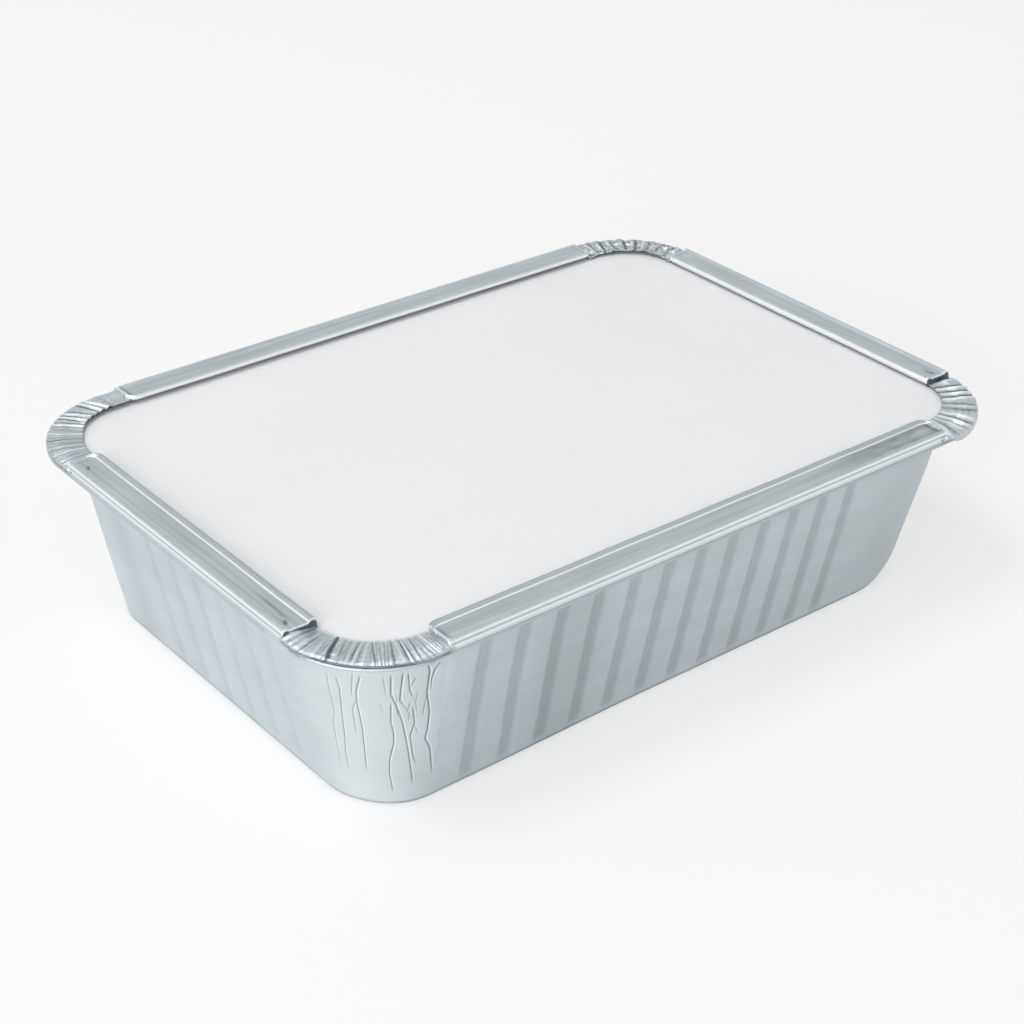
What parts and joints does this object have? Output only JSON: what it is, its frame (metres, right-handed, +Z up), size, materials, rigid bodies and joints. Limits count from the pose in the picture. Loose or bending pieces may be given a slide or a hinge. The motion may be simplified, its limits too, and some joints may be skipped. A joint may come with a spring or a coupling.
{
  "type": "aluminium foil food tray with board lid",
  "caption": "Rectangular fluted foil food tray with a flat board lid held under its folded rim and pleated corners.",
  "frame": {"origin": "middle of the base's underside, on the surface the tray stands on", "axes": "+X along the long side, +Y along the short side, +Z up, out of the tray through the lid"},
  "size_m": [0.2103, 0.1491, 0.0509],
  "materials": {
    "foil": "matt pressed foil",
    "board": "smooth white coated"
  },
  "bodies": {
    "root": {"foil_tray": "foil", "card_lid": "board"}
  },
  "joints": []
}
